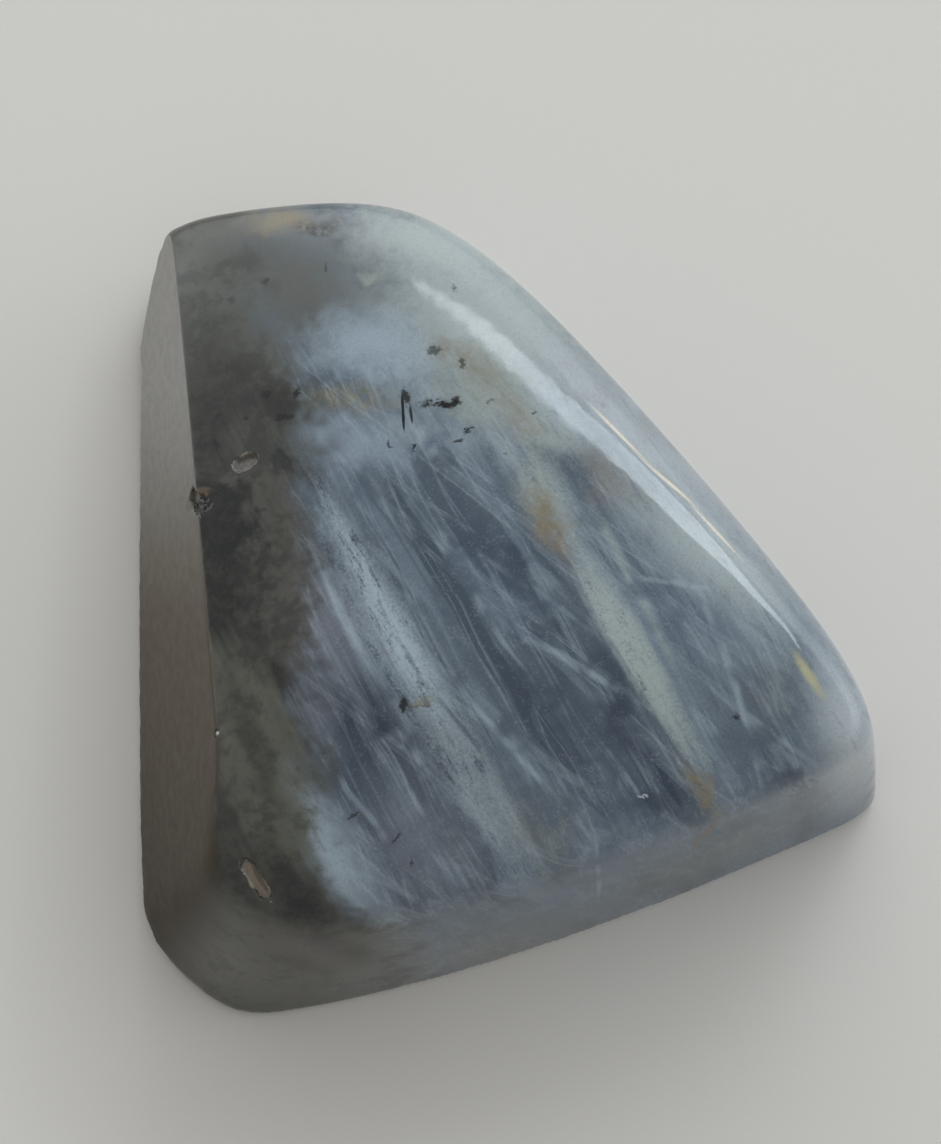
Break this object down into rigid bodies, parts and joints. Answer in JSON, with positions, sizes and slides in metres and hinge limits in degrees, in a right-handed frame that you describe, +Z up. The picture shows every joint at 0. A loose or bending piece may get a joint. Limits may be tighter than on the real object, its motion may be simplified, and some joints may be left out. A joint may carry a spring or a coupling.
{
  "type": "polished labradorite freeform",
  "caption": "Hand-sized polished freeform stone: flat back, gently domed streaked front, long rounded ridge, thick near end and a straight sawn side.",
  "frame": {"origin": "centre of the bounding box, on the surface the stone lies on", "axes": "+Z up through the front face, +Y along the stone to its thin far end, +X away from the sawn side towards the ridge"},
  "size_m": [0.086, 0.093, 0.031],
  "materials": {
    "labradorite": "polished"
  },
  "bodies": {
    "root": {"polished_labradorite": "labradorite"}
  },
  "joints": []
}
